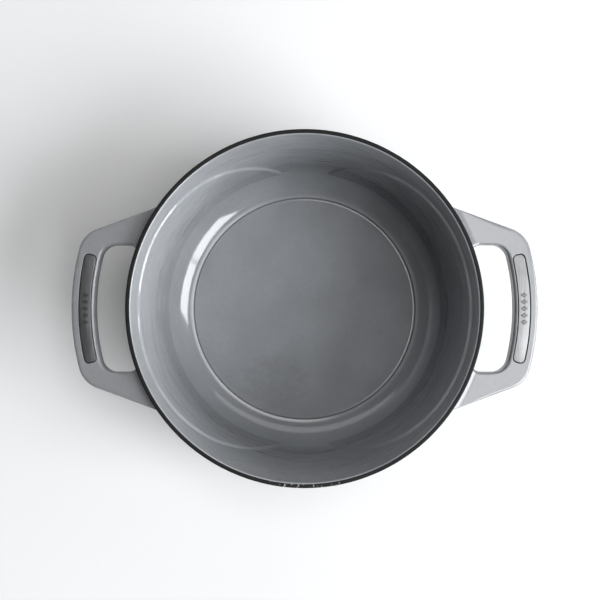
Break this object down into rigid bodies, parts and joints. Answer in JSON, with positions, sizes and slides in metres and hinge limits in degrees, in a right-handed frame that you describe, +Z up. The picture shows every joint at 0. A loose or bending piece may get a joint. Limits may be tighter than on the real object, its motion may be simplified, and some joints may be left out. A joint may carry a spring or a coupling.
{
  "type": "cast iron dutch oven",
  "caption": "Round cast iron dutch oven without its lid: grey enamel inside and out, a bare black rim, loop handles with steel plates let into their tops.",
  "frame": {"origin": "under the middle of the foot ring, on the surface that the pot stands on", "axes": "+X along the line through the loop handles, towards the picture's right; +Y towards the picture's top; +Z up out of the mouth"},
  "size_m": [0.358, 0.27, 0.116],
  "materials": {
    "ground_coat_iron": "matte black ground coat on cast iron",
    "lining_enamel": "glossy grey enamel with a faint stain on the floor",
    "coat_enamel": "satin-gloss grey enamel",
    "plate_steel": "fine brushed, nearly flush in its pocket",
    "adhesive": "dark heat-proof adhesive",
    "pin_steel": "plain"
  },
  "bodies": {
    "root": {"pot_casting": "ground_coat_iron", "interior_enamel": "lining_enamel", "exterior_enamel": "coat_enamel", "left_inlay_plate": "plate_steel", "right_inlay_plate": "plate_steel", "left_inlay_bed": "adhesive", "right_inlay_bed": "adhesive", "left_front_inlay_pin": "pin_steel", "left_rear_inlay_pin": "pin_steel", "right_front_inlay_pin": "pin_steel", "right_rear_inlay_pin": "pin_steel"}
  },
  "joints": []
}
